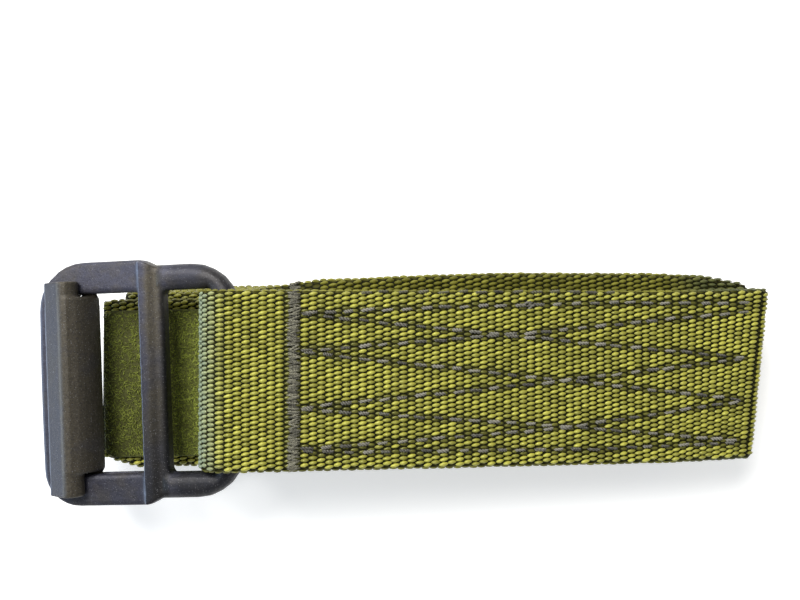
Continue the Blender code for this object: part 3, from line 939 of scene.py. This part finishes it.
def bar_tack_places(settings, wobble):
    """Places for the bar tack's threads, from edge to edge and over the sewn-back ply's edge."""
    places = []
    along = RIBBON.along_at_x(BAR_TACK_X, FRONT_START, SKEW_LENGTH)
    middle = RIBBON.centre(along)[2]
    count = round(TACK_LENGTH / settings.tack_pitch)
    for number in range(count):
        across = TACK_START + TACK_LENGTH * (number + 0.5) / count
        sway = 0.0002 * math.sin(across * 420.0) + wobble.uniform(-0.00018, 0.00018)
        point, run, normal = RIBBON.place(along + sway, across, TACK_LIFT + wobble.uniform(-0.0001, 0.00016))
        tilt = wobble.uniform(-0.45, 0.45)
        direction = (run + Vector((0.0, tilt, 0.0))).normalized()
        size = (
            settings.tack_width * wobble.uniform(0.85, 1.15), settings.tack_thread * wobble.uniform(0.8, 1.1),
            settings.tack_thread * wobble.uniform(0.8, 1.15),
        )
        places.append((point, direction, normal, size))
    under = RIBBON.along_at_x(BAR_TACK_X, 0.0, LOOP_LENGTH - 0.014)
    for number in range(10):
        across = WEBBING_WIDTH / 2 - 0.0003 * (number + 0.6)
        point, run, normal = RIBBON.place(under + wobble.uniform(-0.0003, 0.0003), across, -TACK_LIFT)
        direction = (-run + Vector((0.0, wobble.uniform(-0.6, 0.6), 0.0))).normalized()
        places.append((point, direction, -normal, (settings.tack_width, 0.0005, 0.0005)))
    return places


def ramp(value, low, high):
    """0 below the low end, 1 above the high end and smooth between them."""
    share = min(1.0, max(0.0, (value - low) / (high - low)))
    return share * share * (3 - 2 * share)


def mark_buckle_light_and_wear(thing, of_frame):
    """Stores a piece of the buckle's painted highlight, painted shade and brown wear, as three values in that
    order.
    """
    mesh = thing.data
    runs = [vertex.co.dot(BUCKLE_RUN) for vertex in mesh.vertices]
    sides = [vertex.co.dot(BUCKLE_SIDE) for vertex in mesh.vertices]
    first, last = min(runs), max(runs)
    middle = (min(sides) + max(sides)) / 2
    up = BUCKLE_RUN.cross(BUCKLE_SIDE)
    bar_start, bar_end = CROSSBAR_REACH
    values = []
    for vertex, run, side in zip(mesh.vertices, runs, sides):
        lean = vertex.normal.dot(BUCKLE_RUN)
        rise = max(0.0, vertex.normal.dot(up))
        low = 0.5 - (side - middle) / (2 * BUCKLE_HALF_WIDTH)
        edge = ramp(-lean, 0.25, 0.5) * ramp(lean, -0.95, -0.7) * rise
        reach = run - first
        if of_frame:
            on_bar = ramp(reach, bar_start - 0.0003, bar_start) * ramp(bar_end - reach, -0.001, 0.001)
            bar_edge = on_bar * ramp(-reach, -bar_start - 0.002, -bar_start - 0.001)
            # Painted highlight: a cool bright tone on left-facing upper edges, strongest along the crossbar's
            # left edge
            bright = edge * (bar_edge + ramp(-reach, -0.0022, -0.0012) * 0.6)
            right = ramp(reach, bar_start + 0.0040, bar_end + 0.001)
            far = ramp(reach, bar_end, bar_end + 0.004)
            inward = BUCKLE_HALF_WIDTH - (side - middle)
            bevel = ramp(inward, 0.0006, 0.0010) * ramp(-inward, -0.0016, -0.0011)
            bevel *= ramp(-reach, -bar_start, 0.001 - bar_start)
            # Painted shade: darker towards the bottom, on right-facing sides, over the crossbar's right half
            # and the frame's far end, and in a line along the rail's bevel
            painted_shade = 0.1 + (0.38 + 0.38 * on_bar) * low + 0.35 * max(0.0, lean)
            painted_shade += 0.4 * right * on_bar + 0.36 * far
            painted_shade += 0.4 * bevel * rise * ramp(reach, 0.008, 0.012)
            brown = on_bar * ramp(reach, bar_start + 0.001, bar_start + 0.003)
            brown *= (1 - 0.8 * right) * (1 - 0.6 * low)
        else:
            share = reach / (last - first)
            crest = ramp(share, 0.36, 0.41) * ramp(-share, -0.52, -0.44)
            # Painted highlight on the slider's left facet and crest; painted shade over its right side
            bright = ramp(-share, -0.05, -0.02) * 0.7 + 0.1 * crest
            painted_shade = 0.66 - 0.34 * ramp(share, 0.36, 0.42) + 0.3 * ramp(share, 0.46, 1.0)
            brown = ramp(share, 0.34, 0.42)
        values += (bright, min(painted_shade, 0.9), brown)
    attribute = mesh.attributes.new("painted_light_and_wear", "FLOAT_VECTOR", "POINT")
    attribute.data.foreach_set("vector", values)


def joined_mesh(name, node_name):
    """A frame node's mesh with its doubled points joined."""
    edit = bmesh.new()
    edit.from_mesh(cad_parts[node_name].data)
    bmesh.ops.remove_doubles(edit, verts=edit.verts, dist=0.00001)
    mesh = bpy.data.meshes.new(name)
    edit.to_mesh(mesh)
    edit.free()
    return mesh


def cast_piece(name, node_name, voxel, end_zone, material):
    """A frame node's shape, its edges and inner corners softened as in a casting, most of all near its ends."""
    rough = new_object(name + "_rough", joined_mesh(name, node_name))
    remesh = rough.modifiers.new("remesh", "REMESH")
    remesh.mode = "VOXEL"
    remesh.voxel_size = voxel
    soften = rough.modifiers.new("soften", "SMOOTH")
    soften.factor = 0.5
    soften.iterations = CASTING_ROUNDS
    bpy.context.view_layer.update()
    graph = bpy.context.evaluated_depsgraph_get()
    result = bpy.data.meshes.new_from_object(rough.evaluated_get(graph))
    discard(rough)
    edit = bmesh.new()
    edit.from_mesh(result)
    sides = [vertex.co.dot(BUCKLE_SIDE) for vertex in edit.verts]
    middle = (min(sides) + max(sides)) / 2
    low, high = end_zone
    ends = [vertex for vertex, side in zip(edit.verts, sides) if low < abs(side - middle) < high]
    for _ in range(END_ROUNDS):
        bmesh.ops.smooth_vert(edit, verts=ends, factor=0.5, use_axis_x=True, use_axis_y=True, use_axis_z=True)
    edit.to_mesh(result)
    edit.free()
    return new_object(name, result, material)


# Operators


class BELT_OT_stage(bpy.types.Operator):
    """Puts the floor, the lights and the camera in place"""

    bl_idname = "belt.stage"
    bl_label = "Stage"

    def execute(self, context):
        settings = context.scene.rigger_belt.stage
        floor = new_object(
            "floor", mesh_from("floor", ((-3, -3, 0), (3, -3, 0), (3, 3, 0), (-3, 3, 0)), ((0, 1, 2, 3),)),
            floor_material(settings), smooth=False,
        )
        floor.data.transform(Matrix.Translation((0.0, 0.0, -0.0003)))
        lights = (
            ("key", (-0.24, 0.36, 0.58), 0.36, settings.key_power, (1.0, 0.98, 0.94)),
            ("side", (-0.60, -0.05, 0.13), 0.35, settings.side_power, (0.60, 0.78, 1.0)),
            ("low_side", (0.10, -0.55, 0.25), 0.35, settings.side_power * 0.3, (0.80, 0.88, 1.0)),
        )
        for name, place, size, power, colour in lights:
            data = bpy.data.lights.new(name, "AREA")
            data.size = size
            data.energy = power
            data.color = colour
            light = bpy.data.objects.new(name, data)
            light.location = place
            light.rotation_euler = (-Vector(place)).to_track_quat("-Z", "Y").to_euler()
            context.scene.collection.objects.link(light)
        world = bpy.data.worlds.new("soft_white")
        world.use_nodes = True
        world.node_tree.nodes["Background"].inputs[0].default_value = (1.0, 1.0, 1.0, 1.0)
        world.node_tree.nodes["Background"].inputs[1].default_value = WORLD_STRENGTH
        context.scene.world = world
        context.scene.view_settings.view_transform = "Standard"
        data = bpy.data.cameras.new("camera")
        data.sensor_width = 36.0
        data.lens = CAMERA_LENS
        data.clip_start = 0.01
        camera = bpy.data.objects.new("camera", data)
        camera.location = CAMERA_PLACE
        camera.rotation_euler = [math.radians(angle) for angle in CAMERA_TURN]
        context.scene.collection.objects.link(camera)
        context.scene.camera = camera
        return {"FINISHED"}


class BELT_OT_webbing(bpy.types.Operator):
    """Makes the webbing with its woven floats"""

    bl_idname = "belt.webbing"
    bl_label = "Webbing"

    def execute(self, context):
        settings = context.scene.rigger_belt.webbing
        core = webbing_core(settings, core_material(settings))
        yarn = yarn_material(settings, "olive_yarn", 1.0, True)
        # A copy at half brightness, as painted shade, for the sewn-back edge rows and the selvages
        shaded = yarn_material(settings, "shaded_yarn", 0.5, False)
        piece = float_piece()
        tree = scatter_tree("weave_floats")
        full = round(WEBBING_WIDTH / settings.row_pitch / 2) + 1
        bottom_end = BOTTOM_END_LENGTH + 0.003
        groups = {
            "front_weave": weave_places(settings, LOOP_UNDERSIDE, CREASE_UNDERSIDE, 1, -full, full),
            "under_weave": weave_places(settings, CREASE_UNDERSIDE, bottom_end, 1, -full, full),
            "sewn_weave": weave_places(settings, 0.0, LOOP_UNDERSIDE, 1, -full, full),
            "sewn_edge_weave": weave_places(settings, 0.0, 0.110, -1, full - 7, full),
            "tail_weave": (
                weave_places(settings, TAIL_LENGTH, RIBBON.total, -1, full - 4, full)
                + weave_places(settings, TAIL_LENGTH, RIBBON.total, -1, -full, 4 - full)
                + weave_places(settings, UPPER_FOLD_LENGTH, TAIL_LENGTH, 1, full - 4, full)
            ),
            "selvage_weave": selvage_places(settings),
        }
        for name, places in groups.items():
            values = {"Piece": piece, "Turn": 0.15, "Irregularity": 0.08, "Seed": settings.seed}
            if name == "selvage_weave":
                values["Turn"] = 0.0
            behind = name in ("sewn_edge_weave", "selvage_weave")
            weave = grown(name, points_mesh(name, places), tree, values, shaded if behind else yarn)
            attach(weave, STRAP_BODY)
        discard(piece)
        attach(core, STRAP_BODY)
        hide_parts("strap")
        return {"FINISHED"}


class BELT_OT_seams(bpy.types.Operator):
    """Sews the front ply to the ply behind it"""

    bl_idname = "belt.seams"
    bl_label = "Seams"

    def execute(self, context):
        settings = context.scene.rigger_belt.seams
        thread = thread_material(settings, "grey_thread", 1.0, 1.0)
        tack_thread = thread_material(settings, "tack_thread", 0.9, 0.88)
        edge_thread = thread_material(settings, "edge_thread", 0.5, 0.7)
        piece = thread_piece()
        tree = scatter_tree("stitches")
        wobble = random.Random(settings.seed)
        places = []
        for path in SEAMS:
            places += seam_stitches(path, settings, wobble)
        places += knot_places(settings, wobble)
        values = {"Piece": piece, "Turn": 0.0, "Irregularity": 0.12, "Seed": settings.seed}
        seams = grown("seams", points_mesh("seams", places), tree, values, thread)
        places = bar_tack_places(settings, wobble)
        tack = grown("bar_tack", points_mesh("bar_tack", places), tree, values, tack_thread)
        places = seam_stitches(EDGE_SEAM, settings, wobble)
        edge = grown("edge_seam", points_mesh("edge_seam", places), tree, values, edge_thread)
        discard(piece)
        for piece in (seams, tack, edge):
            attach(piece, STRAP_BODY)
        return {"FINISHED"}


class BELT_OT_tape(bpy.types.Operator):
    """Makes the loop tape with its pile"""

    bl_idname = "belt.tape"
    bl_label = "Loop tape"

    def execute(self, context):
        settings = context.scene.rigger_belt.tape
        backing_pile = pile_material(settings, "tape_backing", 0.8)
        slab = joined_mesh("loop_backing", "loop_tape")
        backing = new_object("loop_backing", slab, backing_pile, smooth=False)
        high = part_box("loop_tape")[1]
        piece = loop_piece()
        yaw = math.atan2(ROUTE[-3].y - ROUTE[-1].y, ROUTE[-3].x - ROUTE[-1].x)
        corner = Matrix.Translation((ROUTE[-1].x, ROUTE[-1].y, 0.0)) @ Matrix.Rotation(yaw, 4, "Z")
        top = high[2]
        fields = (("loop_pile", 0.0012, 0.0330, 1.0), ("covered_pile", 0.0330, 0.1062, 0.3))
        material = pile_material(settings, "green_pile", 1.0)
        things = [backing]
        for name, start, end, share in fields:
            outline = ((start, -0.0188), (end, -0.0188), (end, 0.0188), (start, 0.0188))
            places = [corner @ Vector((x, y, top - 0.0003)) for x, y in outline]
            face = mesh_from(name, places, ((0, 1, 2, 3),))
            values = {
                "Loop": piece, "Density": settings.density * share, "Size": settings.loop_size,
                "Seed": settings.seed,
            }
            things.append(grown(name, face, pile_tree(name), values, material))
        discard(piece)
        for thing in things:
            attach(thing, STRAP_BODY)
        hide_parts("loop_tape")
        return {"FINISHED"}


class BELT_OT_buckle(bpy.types.Operator):
    """Finishes the buckle's frame and slider bar"""

    bl_idname = "belt.buckle"
    bl_label = "Buckle"

    def execute(self, context):
        settings = context.scene.rigger_belt.buckle
        steel = steel_material(settings, "coated_steel")
        casting = cast_piece("frame_casting", "buckle_frame", 0.00030, (0.0268, 0.0284), steel)
        bar = cast_piece("slider_casting", "slider_bar", 0.00022, (0.0206, 0.0238), steel)
        mark_buckle_light_and_wear(casting, True)
        mark_buckle_light_and_wear(bar, False)
        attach(casting, "belt")
        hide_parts("buckle_frame")
        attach(bar, "slider")
        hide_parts("slider_bar")
        return {"FINISHED"}


class BELT_PT_panel(bpy.types.Panel):
    """Lists the belt's steps and settings"""

    bl_idname = "BELT_PT_panel"
    bl_label = "Rigger Belt"
    bl_space_type = "VIEW_3D"
    bl_region_type = "UI"
    bl_category = "Rigger Belt"

    def draw(self, context):
        for step in STEPS:
            self.layout.operator(step.bl_idname)
        settings = context.scene.rigger_belt
        for group in (settings.webbing, settings.seams, settings.tape, settings.buckle, settings.stage):
            box = self.layout.box()
            for name in group.__annotations__:
                box.prop(group, name)


STEPS = (BELT_OT_stage, BELT_OT_webbing, BELT_OT_seams, BELT_OT_tape, BELT_OT_buckle)
CLASSES = (
    WebbingSettings, SeamSettings, TapeSettings, BuckleSettings, StageSettings, BeltSettings, *STEPS,
    BELT_PT_panel,
)


def register():
    for kind in CLASSES:
        bpy.utils.register_class(kind)
    bpy.types.Scene.rigger_belt = PointerProperty(type=BeltSettings)


def unregister():
    del bpy.types.Scene.rigger_belt
    for kind in reversed(CLASSES):
        bpy.utils.unregister_class(kind)


def main():
    register()
    bpy.ops.belt.stage()
    bpy.ops.belt.webbing()
    bpy.ops.belt.seams()
    bpy.ops.belt.tape()
    bpy.ops.belt.buckle()


if __name__ == "__main__":
    main()
